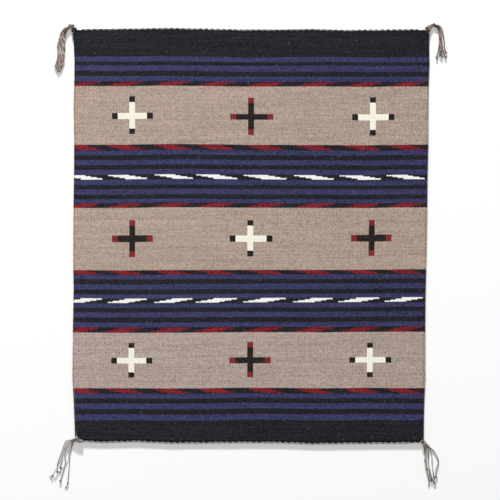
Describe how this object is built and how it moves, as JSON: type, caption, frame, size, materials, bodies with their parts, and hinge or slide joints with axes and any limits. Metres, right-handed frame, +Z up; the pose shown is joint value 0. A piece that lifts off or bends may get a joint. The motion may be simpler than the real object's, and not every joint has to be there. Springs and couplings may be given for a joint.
{
  "type": "navajo rug",
  "caption": "Flat hand-woven wool rug with banded pattern, twined cords along its four edges and a knotted tassel of loose strands at each corner.",
  "frame": {"origin": "under the middle of the whole outline, tassels included, on the surface that the rug lies on", "axes": "+X across the rug, +Y along its warps towards the top end of the pattern, +Z up out of its face"},
  "size_m": [0.8612, 1.0036, 0.0064],
  "materials": {
    "tapestry_wool": "matt hand-spun wool",
    "cord_yarn": "matt plied wool"
  },
  "bodies": {
    "root": {"woven_cloth": "tapestry_wool", "end_cord_top": "cord_yarn", "end_cord_bottom": "cord_yarn", "side_cord_left": "cord_yarn", "side_cord_right": "cord_yarn", "tassel_top_left": "cord_yarn", "tassel_top_right": "cord_yarn", "tassel_bottom_left": "cord_yarn", "tassel_bottom_right": "cord_yarn"}
  },
  "joints": []
}
